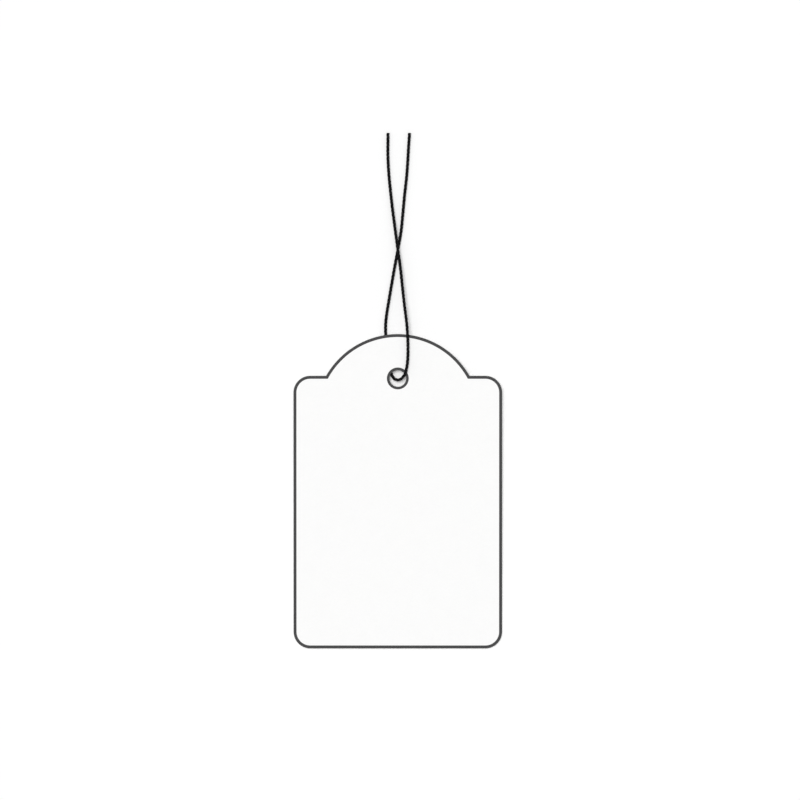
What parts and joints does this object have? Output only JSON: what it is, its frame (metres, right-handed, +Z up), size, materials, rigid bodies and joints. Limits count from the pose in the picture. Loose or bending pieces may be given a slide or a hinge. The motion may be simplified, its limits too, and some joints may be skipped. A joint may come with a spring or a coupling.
{
  "type": "hang tag",
  "caption": "Blank die-cut card tag with rounded corners, a domed top and a plain punched hole, with a loose dark thread passed through the hole.",
  "frame": {"origin": "on the surface that the tag lies on, under the middle of the card", "axes": "+Y along the card towards its domed end, +X to the right of the face, +Z up, within 0.8 degrees of the face's normal"},
  "size_m": [0.04, 0.099, 0.0018],
  "materials": {
    "card": "matte",
    "thread": "matte"
  },
  "bodies": {
    "card": {"card": "card"},
    "thread": {"thread": "thread"}
  },
  "joints": [
    {"name": "thread_swivel", "type": "hinge", "parent": "card", "child": "thread", "pos_m": [0, 0.02165, 0.00085], "axis": [0, 0, 1], "range_deg": [-80, 80]}
  ]
}
